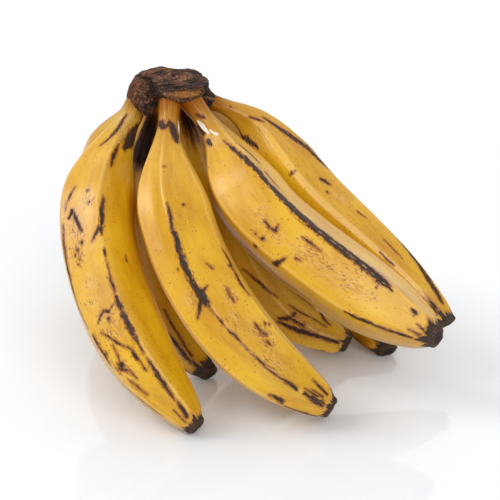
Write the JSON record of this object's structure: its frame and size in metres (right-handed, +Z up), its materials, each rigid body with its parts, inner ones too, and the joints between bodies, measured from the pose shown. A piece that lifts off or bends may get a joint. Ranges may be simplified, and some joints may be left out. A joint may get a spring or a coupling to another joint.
{
  "type": "hand of plantains",
  "caption": "Hand of ripe plantains, long ridged fruits with black streaks and corky tips, joined at a dry brown crown and resting on their tips.",
  "frame": {"origin": "on the surface the hand rests on, under the middle of its box", "axes": "+Z up; +X to the right and +Y away from a viewer who faces the front row of fruits"},
  "size_m": [0.2661, 0.2346, 0.1845],
  "materials": {
    "crown_cork": "dried, fibrous, corky cut crown",
    "peel_front_left": "ripe waxy peel with blackened ridges",
    "peel_front_middle": "ripe waxy peel with blackened ridges",
    "peel_front_right": "ripe waxy peel with blackened ridges",
    "peel_back_right": "ripe waxy peel with blackened ridges",
    "peel_back_left": "ripe waxy peel with blackened ridges",
    "peel_inner_left": "ripe waxy peel with blackened ridges",
    "peel_inner_middle": "ripe waxy peel with blackened ridges",
    "peel_inner_right": "ripe waxy peel with blackened ridges"
  },
  "bodies": {
    "root": {"crown": "crown_cork", "plantain_front_left": "peel_front_left", "plantain_front_middle": "peel_front_middle", "plantain_front_right": "peel_front_right", "plantain_back_right": "peel_back_right", "plantain_back_left": "peel_back_left", "plantain_inner_left": "peel_inner_left", "plantain_inner_middle": "peel_inner_middle", "plantain_inner_right": "peel_inner_right"}
  },
  "joints": []
}
